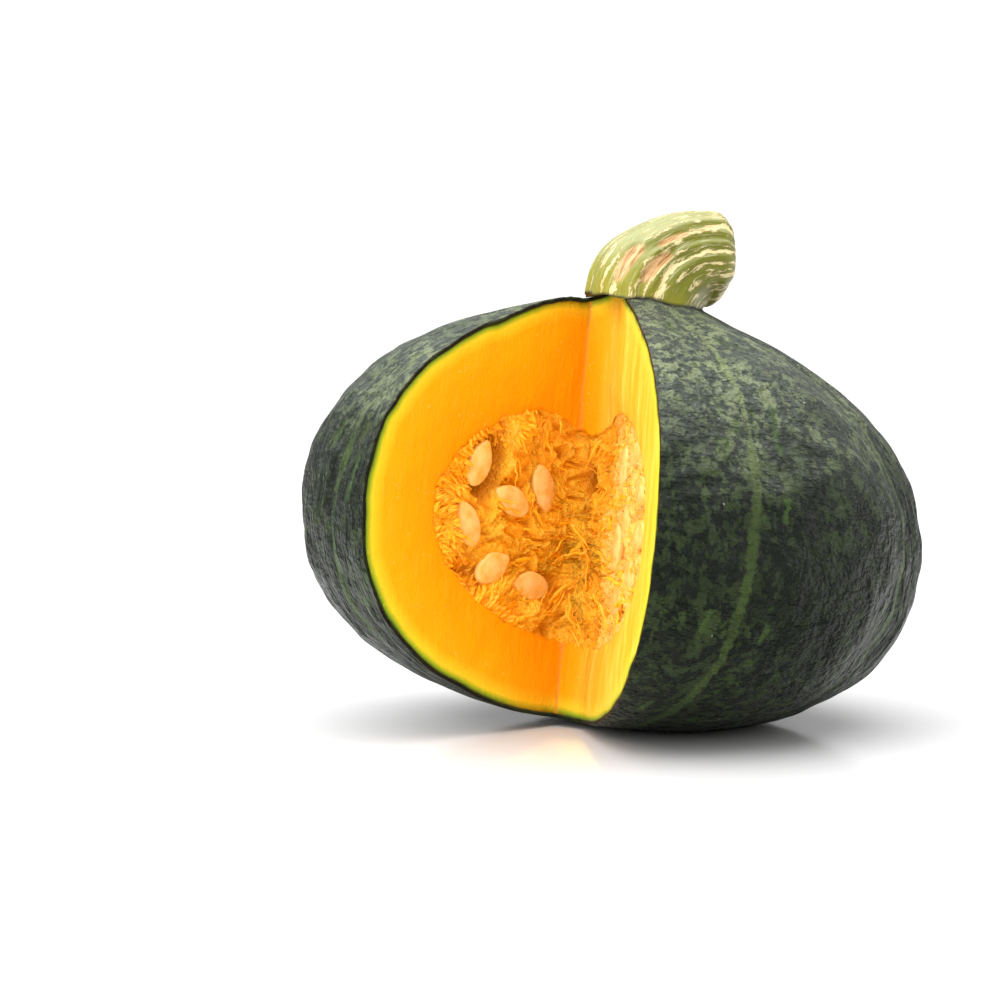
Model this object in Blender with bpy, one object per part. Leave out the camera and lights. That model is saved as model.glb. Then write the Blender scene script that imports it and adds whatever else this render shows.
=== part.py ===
"""Squat green winter squash with one wedge cut out of it, resting on its blossom end.

Metres, +Z up, the cut facing -Y.  The origin is the middle of the flat spot it rests on.
Every layer is the same ribbed skin surface set in by a different amount.
"""
import math

import bmesh
import bpy
from mathutils import Matrix, Vector

# ---- overall sizes ----
HALF_WIDTH = 0.1026          # axis to the crest of a rib at the widest line
CROWN_HEIGHT = 0.0718        # widest line up to the crown, along the fruit's own axis
BASE_DEPTH = 0.0665          # widest line down to the blossom end
CROWN_FULLNESS = 2.0         # exponent of the upper profile: 2 is an ellipse
BASE_FULLNESS = 2.35         # exponent of the lower profile: above 2 is fuller
COLLAR_RISE = 0.0040         # swelling of the skin round the stem
COLLAR_RADIUS = 0.020
LEAN_RIGHT = math.radians(8.5)   # the axis tips towards +X ...
LEAN_BACK = math.radians(5.0)    # ... and towards +Y, away from the missing wedge
FLAT_DEPTH = 0.0024          # how far the underside is pressed flat where it rests

# ---- ribs ----
RIB_COUNT = 8
GROOVE_AZIMUTH = math.radians(25.0)  # first groove, from the front (-Y) towards +X
GROOVE_DEPTH = 0.0030
GROOVE_SHARPNESS = 3.0       # higher gives a narrower groove between rounder ribs

# ---- layers ----
RIND = 0.0013                # green skin seen as a dark line at the cut edge
GAP = 0.0003                 # clearance between neighbouring pieces
FLESH_SIDE = 0.0286          # skin to the seed cavity at the widest line
FLESH_DEPTH = 0.0291         # skin to the cavity above and below, on average
CAVITY_RADIUS = HALF_WIDTH - FLESH_SIDE
CAVITY_HALF_HEIGHT = (CROWN_HEIGHT + BASE_DEPTH) / 2 - FLESH_DEPTH
CAVITY_SHIFT = Vector((0.005, -0.003, -0.002))
CAVITY_SCALLOP = 0.0022      # the inner wall is drawn in along each groove

# ---- the missing wedge ----
CUT_LEFT = math.radians(-45.5)   # direction of each cut face, from the front towards +X
CUT_RIGHT = math.radians(9.0)
CREASE = Vector((-0.129, 0.038)) * HALF_WIDTH   # inner end of the left cut, at the widest line
KNUCKLE_TURN = math.radians(46.0)    # the narrow face between the two cuts
KNUCKLE_WIDTH = 0.0116
KNIFE_RIGHT = math.radians(4.9)      # slope of the knife strokes from upright
KNIFE_BACK = math.radians(8.6)
PULP_RECESS = 0.0022         # the soft pulp sits behind the cut faces
HOLLOW_RADII = (0.0095, 0.0092, 0.0160)  # largest hollow in the pulp: along, up and into the face

# ---- stem ----
STEM_RADIUS = 0.0190
STEM_END_RADIUS = 0.0165
STEM_BEND = STEM_RADIUS + 0.0022     # radius of the bend's centre line, just clear of pinching
STEM_BEND_ANGLE = math.radians(84.0)
STEM_TURN = math.radians(18.0)   # the stem bends towards +X, turned this much to the back
STEM_SINK = 0.0062           # the bend starts this far below the crown
STEM_DOME = 0.0080           # bulge of the cut end
STEM_RIDGES = 5
STEM_RIDGE = 0.0007
STEM_RINGS, STEM_DOME_RINGS = 16, 4

# ---- seeds ----
SEED_LENGTH = 0.0160
SEED_WIDTH = 0.0096
SEED_THICKNESS = 0.0040
SEED_POINT = 0.30            # how much narrower the pointed half is
SEED_SET_BACK = 0.0032       # middle of a seed behind its cut face
WALL_CLEARANCE = 0.0045      # outermost seeds to the cavity's wall
OUTER_ROW = 5                # seeds in the curved row on the right cut face

AROUND, ALONG = 48, 18       # facets of the fruit's skin


def clear_scene():
    for obj in list(bpy.data.objects):
        bpy.data.objects.remove(obj, do_unlink=True)


clear_scene()
fruit = bpy.data.collections.new("pumpkin")
cutters = bpy.data.collections.new("cutters")
for collection in (fruit, cutters):
    bpy.context.scene.collection.children.link(collection)

LEAN = Matrix.Rotation(-LEAN_BACK, 4, "X") @ Matrix.Rotation(LEAN_RIGHT, 4, "Y")


def signed_power(value, exponent):
    return math.copysign(abs(value) ** exponent, value)


def groove(azimuth):
    """0 on the crest of a rib, 1 at the bottom of a groove."""
    phase = 0.5 * RIB_COUNT * (azimuth - GROOVE_AZIMUTH)
    return abs(math.cos(phase)) ** GROOVE_SHARPNESS


def skin(azimuth, latitude):
    """A point of the outer skin about the fruit's own centre and axis."""
    fullness = CROWN_FULLNESS if latitude >= 0 else BASE_FULLNESS
    reach = abs(math.cos(latitude)) ** (2 / fullness)
    height = (CROWN_HEIGHT if latitude >= 0 else BASE_DEPTH) * signed_power(math.sin(latitude), 2 / fullness)
    radius = HALF_WIDTH * reach - GROOVE_DEPTH * groove(azimuth) * reach ** 0.6
    if latitude > 0:
        height += COLLAR_RISE * math.exp(-(radius / COLLAR_RADIUS) ** 2)
        height -= GROOVE_DEPTH * groove(azimuth) * (1 - reach) * reach
    return Vector((radius * math.sin(azimuth), -radius * math.cos(azimuth), height))


def skin_normal(azimuth, latitude):
    step = 0.01
    if abs(math.cos(latitude)) < 1e-6:
        return Vector((0, 0, math.copysign(1, latitude)))
    around = skin(azimuth + step, latitude) - skin(azimuth - step, latitude)
    top = math.pi / 2 - 1e-4
    along = skin(azimuth, min(latitude + step, top)) - skin(azimuth, max(latitude - step, -top))
    return around.cross(along).normalized()


def leaned(point):
    return LEAN @ point


def facet_directions():
    for ring in range(1, ALONG):
        latitude = math.pi * (ring / ALONG - 0.5)
        for side in range(AROUND):
            yield GROOVE_AZIMUTH + 2 * math.pi * side / AROUND, latitude


lowest = min((leaned(skin(az, lat)) for az, lat in facet_directions()), key=lambda p: p.z)
REST_LEVEL = lowest.z + FLAT_DEPTH
pressed = [p for p in (leaned(skin(az, lat)) for az, lat in facet_directions()) if p.z <= REST_LEVEL]
REST_MIDDLE = sum(pressed, Vector()) / len(pressed)
TO_ORIGIN = Vector((-REST_MIDDLE.x, -REST_MIDDLE.y, -REST_LEVEL))


def placed(point, floor_inset=None):
    """Lean a point of the fruit, press it flat on its resting level and move it to the origin."""
    moved = leaned(point)
    if floor_inset is not None:
        moved.z = max(moved.z, REST_LEVEL + floor_inset)
    return moved + TO_ORIGIN


def add_object(name, mesh, collection):
    obj = bpy.data.objects.new(name, mesh)
    collection.objects.link(obj)
    if collection is cutters:
        obj.hide_render = True
        obj.display_type = "WIRE"
    return obj


def ball(name, collection, shape, around, along):
    """A UV sphere whose every point is moved to shape(azimuth, latitude)."""
    mesh = bpy.data.meshes.new(name)
    bm = bmesh.new()
    bmesh.ops.create_uvsphere(bm, u_segments=around, v_segments=along, radius=1.0)
    # the same diagonals in every layer keep neighbouring layers clear of each other
    bmesh.ops.triangulate(bm, faces=bm.faces, quad_method="FIXED")
    for vert in bm.verts:
        latitude = math.asin(max(-1.0, min(1.0, vert.co.z)))
        vert.co = shape(math.atan2(vert.co.y, vert.co.x), latitude)
    if bm.calc_volume(signed=True) < 0:
        bmesh.ops.reverse_faces(bm, faces=bm.faces)
    bm.to_mesh(mesh)
    bm.free()
    return add_object(name, mesh, collection)


def layer(name, collection, inset):
    """The solid inside the skin surface, set in by a given depth."""
    def shape(turn, latitude):
        azimuth = turn + GROOVE_AZIMUTH
        point = skin(azimuth, latitude) - inset * skin_normal(azimuth, latitude)
        return placed(point, inset)
    return ball(name, collection, shape, AROUND, ALONG)


def cavity(name, collection, inset):
    """The space the pulp and seeds grow in, set in by a given depth."""
    def shape(turn, latitude):
        azimuth = turn + GROOVE_AZIMUTH
        wall = CAVITY_RADIUS - inset - CAVITY_SCALLOP * groove(azimuth)
        point = Vector((
            wall * math.cos(latitude) * math.sin(azimuth),
            -wall * math.cos(latitude) * math.cos(azimuth),
            (CAVITY_HALF_HEIGHT - inset) * math.sin(latitude)))
        return placed(point + CAVITY_SHIFT)
    return ball(name, collection, shape, 32, 14)


def subtract(obj, cutter):
    modifier = obj.modifiers.new("minus " + cutter.name, "BOOLEAN")
    modifier.operation = "DIFFERENCE"
    modifier.solver = "EXACT"
    modifier.object = cutter


def paint(obj, colour, roughness):
    material = bpy.data.materials.new(obj.name)
    material.use_nodes = True
    shader = material.node_tree.nodes["Principled BSDF"]
    shader.inputs["Base Color"].default_value = (*colour, 1.0)
    shader.inputs["Roughness"].default_value = roughness
    shader.inputs["Metallic"].default_value = 0.0
    obj.data.materials.clear()
    obj.data.materials.append(material)


# ---- the wedge: a prism drawn along the knife strokes ----
KNIFE = Vector((math.tan(KNIFE_RIGHT), math.tan(KNIFE_BACK), 1.0))
CENTRE = TO_ORIGIN           # the fruit's own centre, in the object's frame


def heading(azimuth):
    return Vector((math.sin(azimuth), -math.cos(azimuth)))


def crossing(point_a, along_a, point_b, along_b):
    """Where two lines in plan meet."""
    across = along_a.x * along_b.y - along_a.y * along_b.x
    offset = point_b - point_a
    return point_a + along_a * ((offset.x * along_b.y - offset.y * along_b.x) / across)


KNUCKLE = CREASE + heading(KNUCKLE_TURN) * KNUCKLE_WIDTH


def into_flesh(azimuth, side):
    """Plan direction from a cut face into the fruit: side is -1 for the left cut, +1 for the right."""
    along = heading(azimuth)
    return Vector((-along.y, along.x)) * side


LEFT_IN = into_flesh(CUT_LEFT, -1)
RIGHT_IN = into_flesh(CUT_RIGHT, 1)
KNUCKLE_IN = into_flesh(KNUCKLE_TURN, 1)


def wedge(name, grow):
    """The removed wedge, its faces moved out into the fruit by grow."""
    left, right, turn = heading(CUT_LEFT), heading(CUT_RIGHT), heading(KNUCKLE_TURN)
    left_point = CREASE + LEFT_IN * grow
    right_point = KNUCKLE + RIGHT_IN * grow
    turn_point = CREASE + KNUCKLE_IN * grow
    reach = 2 * HALF_WIDTH
    crease = crossing(left_point, left, turn_point, turn)
    knuckle = crossing(right_point, right, turn_point, turn)
    middle = heading(0.5 * (CUT_LEFT + CUT_RIGHT)) * reach
    plan = [crease, crease + left * reach, crease + middle + left * reach * 0.3,
            knuckle + right * reach, knuckle]
    half_height = 1.5 * (CROWN_HEIGHT + BASE_DEPTH) * 0.5
    mesh = bpy.data.meshes.new(name)
    bm = bmesh.new()
    ends = []
    for height in (-half_height, half_height):
        ends.append([bm.verts.new(CENTRE + Vector((p.x, p.y, 0)) + KNIFE * height) for p in plan])
    bm.faces.new(reversed(ends[0]))
    bm.faces.new(ends[1])
    for i in range(len(plan)):
        j = (i + 1) % len(plan)
        bm.faces.new((ends[0][i], ends[0][j], ends[1][j], ends[1][i]))
    bmesh.ops.recalc_face_normals(bm, faces=bm.faces)
    bm.to_mesh(mesh)
    bm.free()
    return add_object(name, mesh, cutters)


wedge_space = wedge("wedge_space", 0.0)
pulp_space = wedge("pulp_space", PULP_RECESS)

# ---- rind and flesh ----
rind = layer("rind", fruit, 0.0)
subtract(rind, layer("rind_inside", cutters, RIND))
subtract(rind, wedge_space)
paint(rind, (0.035, 0.065, 0.035), 0.45)

flesh = layer("flesh", fruit, RIND + GAP)
subtract(flesh, cavity("seed_cavity", cutters, 0.0))
subtract(flesh, wedge_space)
paint(flesh, (0.95, 0.47, 0.03), 0.5)


# ---- pulp, with the hollows the seeds grow in ----
def on_cut_face(start, along, inward, distance, height, depth):
    """A point measured along a cut face, up the knife stroke and back into the fruit."""
    plan = start + along * distance + inward * depth
    return CENTRE + Vector((plan.x, plan.y, 0)) + KNIFE * height


LEFT_FACE = (CREASE, heading(CUT_LEFT), LEFT_IN)
RIGHT_FACE = (KNUCKLE, heading(CUT_RIGHT), RIGHT_IN)


def face_turn(face):
    """Axes of a cut face: along it, up it and into the fruit."""
    start, along, inward = face
    x_axis = Vector((along.x, along.y, 0))
    z_axis = Vector((inward.x, inward.y, 0))
    z_axis = (z_axis - KNIFE * (z_axis.dot(KNIFE) / KNIFE.length_squared)).normalized()
    x_axis = (x_axis - z_axis * x_axis.dot(z_axis)).normalized()
    y_axis = z_axis.cross(x_axis)
    return Matrix((x_axis, y_axis, z_axis)).transposed()


def hollow(name, face, distance, height, radii):
    """An ellipsoidal gap in the pulp, opening at a cut face."""
    middle = on_cut_face(*face, distance, height, PULP_RECESS)
    turn = face_turn(face)

    def shape(azimuth, latitude):
        return middle + turn @ Vector((
            radii[0] * math.cos(latitude) * math.cos(azimuth),
            radii[1] * math.cos(latitude) * math.sin(azimuth),
            radii[2] * math.sin(latitude)))
    return ball(name, cutters, shape, 14, 8)


def wall_distance(face):
    """From the inner end of a cut face to the cavity's wall at its widest line."""
    start, along, _ = face
    offset = start - CAVITY_SHIFT.xy
    wall = CAVITY_RADIUS - CAVITY_SCALLOP
    toward = offset.dot(along)
    return -toward + math.sqrt(toward ** 2 - offset.length_squared + wall ** 2)


def from_middle(face, distance, height):
    """Distance and height on a cut face, for a height measured from the fruit's leaning widest line."""
    start, along, _ = face
    axis = leaned(Vector((0, 0, 1)))
    plan = (start + along * distance).to_3d() + CAVITY_SHIFT.z * axis
    return distance, height - axis.dot(plan) / axis.dot(KNIFE)


LEFT_REACH = wall_distance(LEFT_FACE)
UPPER_HOLLOW = from_middle(LEFT_FACE, 0.42 * LEFT_REACH, 0.34 * CAVITY_HALF_HEIGHT)
LOWER_HOLLOW = from_middle(LEFT_FACE, 0.60 * LEFT_REACH, -0.36 * CAVITY_HALF_HEIGHT)
pulp = cavity("pulp", fruit, GAP)
subtract(pulp, pulp_space)
subtract(pulp, hollow("upper_hollow", LEFT_FACE, *UPPER_HOLLOW, HOLLOW_RADII))
subtract(pulp, hollow("lower_hollow", LEFT_FACE, *LOWER_HOLLOW, [0.9 * r for r in HOLLOW_RADII]))
paint(pulp, (0.93, 0.52, 0.08), 0.6)


# ---- seeds, half set in the pulp ----
def seed(name, face, distance, height, turn, depth, grow, collection):
    """A flat drop-shaped seed lying behind a cut face, its point turned by an angle."""
    middle = on_cut_face(*face, distance, height, depth)
    axes = face_turn(face) @ Matrix.Rotation(turn, 3, "Z")

    def shape(azimuth, latitude):
        x = math.cos(latitude) * math.cos(azimuth)
        taper = 1 - SEED_POINT * max(0.0, x) ** 2
        return middle + axes @ Vector((
            (SEED_LENGTH / 2 + grow) * x,
            (SEED_WIDTH / 2 + grow) * math.cos(latitude) * math.sin(azimuth) * taper,
            (SEED_THICKNESS / 2 + grow) * math.sin(latitude) * taper))
    return ball(name, collection, shape, 12, 6)


def seed_places():
    """Face, distance along it, height, turn and set-back of every seed, inside the cavity's wall."""
    clear = SEED_LENGTH / 2 + WALL_CLEARANCE
    lift = CAVITY_HALF_HEIGHT - SEED_WIDTH / 2 - WALL_CLEARANCE
    reach = wall_distance(RIGHT_FACE) - clear
    for i in range(OUTER_ROW):
        angle = math.radians(44 - 104 * i / (OUTER_ROW - 1))
        place = from_middle(RIGHT_FACE, reach * math.cos(angle), lift * math.sin(angle))
        yield RIGHT_FACE, *place, 10 if i % 2 else -16, SEED_SET_BACK
    for along, up, turn in ((0.62, 0.0, 95), (0.42, 0.50, 100), (0.40, -0.30, 80)):
        yield RIGHT_FACE, *from_middle(RIGHT_FACE, reach * along, lift * up), turn, SEED_SET_BACK
    reach = wall_distance(LEFT_FACE) - clear
    for along, up, turn in ((0.24, 0.20, 78), (0.52, 0.02, 30), (0.28, -0.84, 12), (0.86, 0.36, -60),
                            (0.92, -0.28, 70), (0.66, -0.70, -20)):
        yield LEFT_FACE, *from_middle(LEFT_FACE, reach * along, lift * up), turn, SEED_SET_BACK
    yield LEFT_FACE, *UPPER_HOLLOW, 40, HOLLOW_RADII[2] * 0.85


for number, (face, distance, height, turn, depth) in enumerate(seed_places(), start=1):
    name = "seed_%02d" % number
    turn = math.radians(turn)
    paint(seed(name, face, distance, height, turn, depth, 0.0, fruit), (0.93, 0.74, 0.52), 0.4)
    subtract(pulp, seed(name + "_pocket", face, distance, height, turn, depth, GAP, cutters))


# ---- stem: a swept tube bent over to one side, trimmed to the crown ----
def stem_shape(around, latitude):
    """Rings from a flat root inside the crown, round the bend, to a domed cut end."""
    ring = (0.5 + latitude / math.pi) * STEM_RINGS
    bent = min(max((ring - 1) / (STEM_RINGS - STEM_DOME_RINGS - 1), 0.0), 1.0)
    dome = max(0.0, 1 - (STEM_RINGS - ring) / STEM_DOME_RINGS) * math.pi / 2
    angle = STEM_BEND_ANGLE * bent
    radius = STEM_RADIUS + (STEM_END_RADIUS - STEM_RADIUS) * bent
    radius = (radius + STEM_RIDGE * math.cos(STEM_RIDGES * around)) * min(1.0, ring) * math.cos(dome)
    onward = Vector((math.sin(angle), 0, math.cos(angle)))
    outward = Vector((math.cos(angle), 0, -math.sin(angle)))
    middle = Vector((STEM_BEND, 0, CROWN_HEIGHT + COLLAR_RISE - STEM_SINK)) - outward * STEM_BEND
    point = middle + outward * radius * math.cos(around) + onward * STEM_DOME * math.sin(dome)
    point.y += radius * math.sin(around)
    return placed(Matrix.Rotation(STEM_TURN, 3, "Z") @ point)


stem = ball("stem", fruit, stem_shape, 30, STEM_RINGS)
subtract(stem, layer("crown_clearance", cutters, -GAP))
paint(stem, (0.42, 0.42, 0.16), 0.7)
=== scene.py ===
"""A squat green winter squash with one wedge cut out, on a white studio table."""

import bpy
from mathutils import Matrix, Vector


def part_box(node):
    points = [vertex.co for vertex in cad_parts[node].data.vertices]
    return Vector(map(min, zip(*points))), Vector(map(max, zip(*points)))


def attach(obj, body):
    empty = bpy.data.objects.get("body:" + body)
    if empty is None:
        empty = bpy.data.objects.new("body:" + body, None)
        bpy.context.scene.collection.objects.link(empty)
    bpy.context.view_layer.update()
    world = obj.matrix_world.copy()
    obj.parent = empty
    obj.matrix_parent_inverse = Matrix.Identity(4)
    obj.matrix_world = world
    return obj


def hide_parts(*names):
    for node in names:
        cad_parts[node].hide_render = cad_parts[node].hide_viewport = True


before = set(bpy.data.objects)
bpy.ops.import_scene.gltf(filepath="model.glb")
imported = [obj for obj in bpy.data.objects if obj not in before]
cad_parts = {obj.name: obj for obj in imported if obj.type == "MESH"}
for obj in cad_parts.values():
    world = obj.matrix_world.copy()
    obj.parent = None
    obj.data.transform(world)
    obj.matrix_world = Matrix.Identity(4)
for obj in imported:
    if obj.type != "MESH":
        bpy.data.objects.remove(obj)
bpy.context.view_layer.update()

import math

import bmesh
import bpy
import numpy as np
from mathutils import Matrix, Vector, noise
from mathutils.bvhtree import BVHTree

# ---- camera ----
# The fruit stands on a table a little below eye height and is seen with a long lens,
# so its upright lines stay almost parallel.
LENS, LENS_RANGE = 163.96, 100
CAMERA_PLACE, CAMERA_TILT = (-0.05425, -1.50316, 0.21720), math.radians(84.53)

camera = bpy.data.objects.new("camera", bpy.data.cameras.new("camera"))
bpy.context.scene.collection.objects.link(camera)
camera.data.lens = LENS
camera.data.clip_end = LENS_RANGE
camera.location = CAMERA_PLACE
camera.rotation_euler = (CAMERA_TILT, 0, 0)
bpy.context.scene.camera = camera
bpy.context.scene.view_settings.view_transform = "Standard"

# ---- table and light ----
# A glossy white table top under large soft boxes; the room itself is only dimly white.
FLOOR_HALF = 1.30
TABLE_WHITE = (0.93, 0.93, 0.93, 1)
TABLE_GLOSS = 0.11                       # roughness of the table top
ROOM_GLOW, ROOM_SEEN = 0.50, 0.60        # light from the room, and what the eye sees more of it
SOFT_BOXES = {                           # place, aim, width, height, watts
    "overhead": ((-0.30, 0.22, 1.90), (0, 0.12, 0.0), 3.8, 3.8, 134),
    "window_left": ((-1.10, -1.15, 0.75), (0, 0, 0.08), 1.1, 0.9, 14),
    "back_right": ((1.35, 0.45, 0.55), (0.05, 0, 0.08), 0.4, 0.9, 5)}


class Tap:
    """One value in a node tree; sums and products of taps add the nodes that work them out."""

    def __init__(self, recipe, socket):
        self.recipe, self.socket = recipe, socket

    def math(self, operation, *others, swap=False):
        values = [self, *others]
        if swap:
            values.reverse()
        return self.recipe.node("ShaderNodeMath", {"operation": operation}, dict(enumerate(values)))

    def __add__(self, other): return self.math("ADD", other)
    def __radd__(self, other): return self.math("ADD", other)
    def __sub__(self, other): return self.math("SUBTRACT", other)
    def __rsub__(self, other): return self.math("SUBTRACT", other, swap=True)
    def __mul__(self, other): return self.math("MULTIPLY", other)
    def __rmul__(self, other): return self.math("MULTIPLY", other)
    def __truediv__(self, other): return self.math("DIVIDE", other)
    def __pow__(self, other): return self.math("POWER", other)
    def __abs__(self): return self.math("ABSOLUTE")
    def most(self, other): return self.math("MAXIMUM", other)

    def rise(self, low, high):
        """0 below low and 1 above high, with a smooth step between; low above high turns it round."""
        return self.recipe.node("ShaderNodeMapRange", {"interpolation_type": "SMOOTHSTEP"},
                                {"Value": self, "From Min": low, "From Max": high})


class Recipe:
    """A node tree, of a material or of geometry, and the one way to add a node to it."""

    def __init__(self, tree):
        self.tree = tree

    def node(self, kind, settings=None, inputs=None, output=0):
        made = self.tree.nodes.new(kind)
        for name, value in (settings or {}).items():
            if name == "stops":
                ramp = made.color_ramp.elements
                while len(ramp) < len(value):
                    ramp.new(1.0)
                for stop, (place, colour) in zip(ramp, value):
                    stop.position, stop.color = place, (*colour, 1.0)
            else:
                setattr(made, name, value)
        for name, value in (inputs or {}).items():
            if isinstance(value, Tap):
                self.tree.links.new(value.socket, made.inputs[name])
            elif value is not None:
                made.inputs[name].default_value = value
        return Tap(self, made.outputs[output])

    def xyz(self, vector):
        return [self.node("ShaderNodeSeparateXYZ", None, {0: vector}, axis) for axis in range(3)]

    def pack(self, x, y, z):
        return self.node("ShaderNodeCombineXYZ", None, {0: x, 1: y, 2: z})

    def stretched(self, vector, scale):
        return self.node("ShaderNodeVectorMath", {"operation": "MULTIPLY"}, {0: vector, 1: scale})

    def shifted(self, vector, offset):
        return self.node("ShaderNodeVectorMath", {"operation": "ADD"}, {0: vector, 1: offset})

    def cloud(self, vector, size, detail=3.0, roughness=0.55):
        """Soft noise with features of a given size in metres, about 0.5 on average."""
        return self.node("ShaderNodeTexNoise", None, {
            "Vector": vector, "Scale": 1 / size, "Detail": detail, "Roughness": roughness})

    def cells(self, vector, size):
        """Distance from the nearest of points scattered about a given size apart."""
        return self.node("ShaderNodeTexVoronoi", None, {"Vector": vector, "Scale": 1 / size})

    def blend(self, share, first, second):
        def colour(value):
            return (*value, 1.0) if isinstance(value, tuple) and len(value) == 3 else value
        return self.node("ShaderNodeMix", {"data_type": "RGBA"},
                         {0: share, 6: colour(first), 7: colour(second)}, 2)


class Finish(Recipe):
    """A material: its colour, roughness and relief may vary, everything else is a constant."""

    def __init__(self, name):
        self.material = bpy.data.materials.new(name)
        self.material.use_nodes = True
        super().__init__(self.material.node_tree)
        self.shader = self.tree.nodes["Principled BSDF"]

    def place(self):
        return self.node("ShaderNodeTexCoord", output=3)

    def attribute(self, name):
        return self.node("ShaderNodeAttribute", {"attribute_name": name}, output=1)

    def done(self, colour, roughness, relief=None, depth=0.0, **constants):
        for name, value in (("Base Color", colour), ("Roughness", roughness)):
            if isinstance(value, Tap):
                self.tree.links.new(value.socket, self.shader.inputs[name])
            else:
                self.shader.inputs[name].default_value = value
        if relief is not None:
            bump = self.node("ShaderNodeBump", None, {"Strength": 1.0, "Distance": depth, "Height": relief})
            self.tree.links.new(bump.socket, self.shader.inputs["Normal"])
        for name, value in constants.items():
            self.shader.inputs[name.replace("_", " ").title().replace("Ior", "IOR")].default_value = value
        return self.material


def shaped(name, form, finish, smooth=True):
    """A mesh object at the origin, made from a form whose points are already in place."""
    mesh = bpy.data.meshes.new(name)
    form.to_mesh(mesh)
    form.free()
    mesh.polygons.foreach_set("use_smooth", [smooth] * len(mesh.polygons))
    mesh.materials.append(finish)
    made = bpy.data.objects.new(name, mesh)
    bpy.context.scene.collection.objects.link(made)
    return made


def soft_box(name, place, aim, width, height, power):
    light = bpy.data.lights.new(name, "AREA")
    light.shape, light.size, light.size_y = "RECTANGLE", width, height
    light.energy = power
    made = bpy.data.objects.new(name, light)
    made.location = place
    made.rotation_euler = (Vector(aim) - Vector(place)).to_track_quat("-Z", "Y").to_euler()
    bpy.context.scene.collection.objects.link(made)


table_top = Finish("white_table")
haze = table_top.cloud(table_top.place(), 0.30, 2.0)
slab = bmesh.new()
slab.faces.new([slab.verts.new((x * FLOOR_HALF, y * FLOOR_HALF, 0))
                for x, y in ((-1, -1), (1, -1), (1, 1), (-1, 1))])
floor = shaped("table", slab, table_top.done(TABLE_WHITE, haze * 0.03 + TABLE_GLOSS), False)

world = bpy.data.worlds.new("studio")
bpy.context.scene.world = world
world.use_nodes = True
studio = Recipe(world.node_tree)
seen = studio.node("ShaderNodeLightPath", output=0)
room = world.node_tree.nodes["Background"]
room.inputs["Color"].default_value = (1, 1, 1, 1)
world.node_tree.links.new((seen * ROOM_SEEN + ROOM_GLOW).socket, room.inputs["Strength"])

for name, setting in SOFT_BOXES.items():
    soft_box(name, *setting)

# ---- rind ----
# The hard skin of the fruit: about 1 mm of near-black green, eight soft ribs, a waxy bloom and
# painted overhead sheen on the upper half, lighter where the skin faces up, olive stripes in the grooves
# and pale mottles between them.
HALF_WIDTH, CROWN_HEIGHT, BASE_DEPTH = 0.1026, 0.0718, 0.0665
CROWN_FULLNESS, BASE_FULLNESS = 2.0, 2.35
COLLAR_RISE, COLLAR_RADIUS = 0.0040, 0.020
LEAN = Matrix.Rotation(-math.radians(5.0), 3, "X") @ Matrix.Rotation(math.radians(8.5), 3, "Y")
RIB_COUNT, GROOVE_AZIMUTH, GROOVE_DEPTH, GROOVE_SHARPNESS = 8, math.radians(25.0), 0.0030, 3.0
RIND = 0.0013
RIND_AROUND, RIND_ALONG = 420, 180
SEAM_AZIMUTH = math.radians(-20.0)       # inside the missing wedge
FACETS_AROUND, FACETS_HALF_ALONG = 48, 9  # of the plain skin that the frame holds
SIDE_AZIMUTH = 1.15                      # where the flank's long wrinkles begin
CROWN_LIFT, CROWN_LIFT_RADIUS = 0.0022, 0.034
RIND_RELIEF = 0.0032
NIGHT_GREEN, DARK_GREEN = (0.0022, 0.0040, 0.0022), (0.0070, 0.0115, 0.0052)
# the first grey is waxy bloom and painted sheen where the skin faces up to the overhead light
# the second grey is a painted highlight on wrinkle ridges that face up
WAX_AND_SHEEN_GREY, RIDGE_SHEEN_GREY = (0.100, 0.117, 0.095), (0.16, 0.19, 0.16)
# mottle and stripe colours for down- and up-facing skin: shaded and lit copies, partly bloom and partly
# painted light
MOTTLE_BELOW, MOTTLE_ABOVE = (0.032, 0.050, 0.015), (0.205, 0.238, 0.130)
STRIPE_BELOW, STRIPE_ABOVE = (0.052, 0.085, 0.020), (0.21, 0.25, 0.11)
SIDE_STRIPE, OLIVE_PATCH, DUST = (0.050, 0.092, 0.022), (0.045, 0.078, 0.016), (0.42, 0.45, 0.40)


def groove(azimuth):
    return np.abs(np.cos(0.5 * RIB_COUNT * (azimuth - GROOVE_AZIMUTH))) ** GROOVE_SHARPNESS


def skin(azimuth, latitude):
    """Points of the smooth outer skin about the fruit's own centre and axis."""
    upper = latitude >= 0
    power = 2 / np.where(upper, CROWN_FULLNESS, BASE_FULLNESS)
    reach = np.abs(np.cos(latitude)) ** power
    height = np.where(upper, CROWN_HEIGHT, BASE_DEPTH) * np.sign(latitude)
    height = height * np.abs(np.sin(latitude)) ** power
    radius = HALF_WIDTH * reach - GROOVE_DEPTH * groove(azimuth) * reach ** 0.6
    collar = COLLAR_RISE * np.exp(-(radius / COLLAR_RADIUS) ** 2)
    height = height + upper * (collar - GROOVE_DEPTH * groove(azimuth) * (1 - reach) * reach)
    return np.stack((radius * np.sin(azimuth), -radius * np.cos(azimuth), height), -1)


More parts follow.
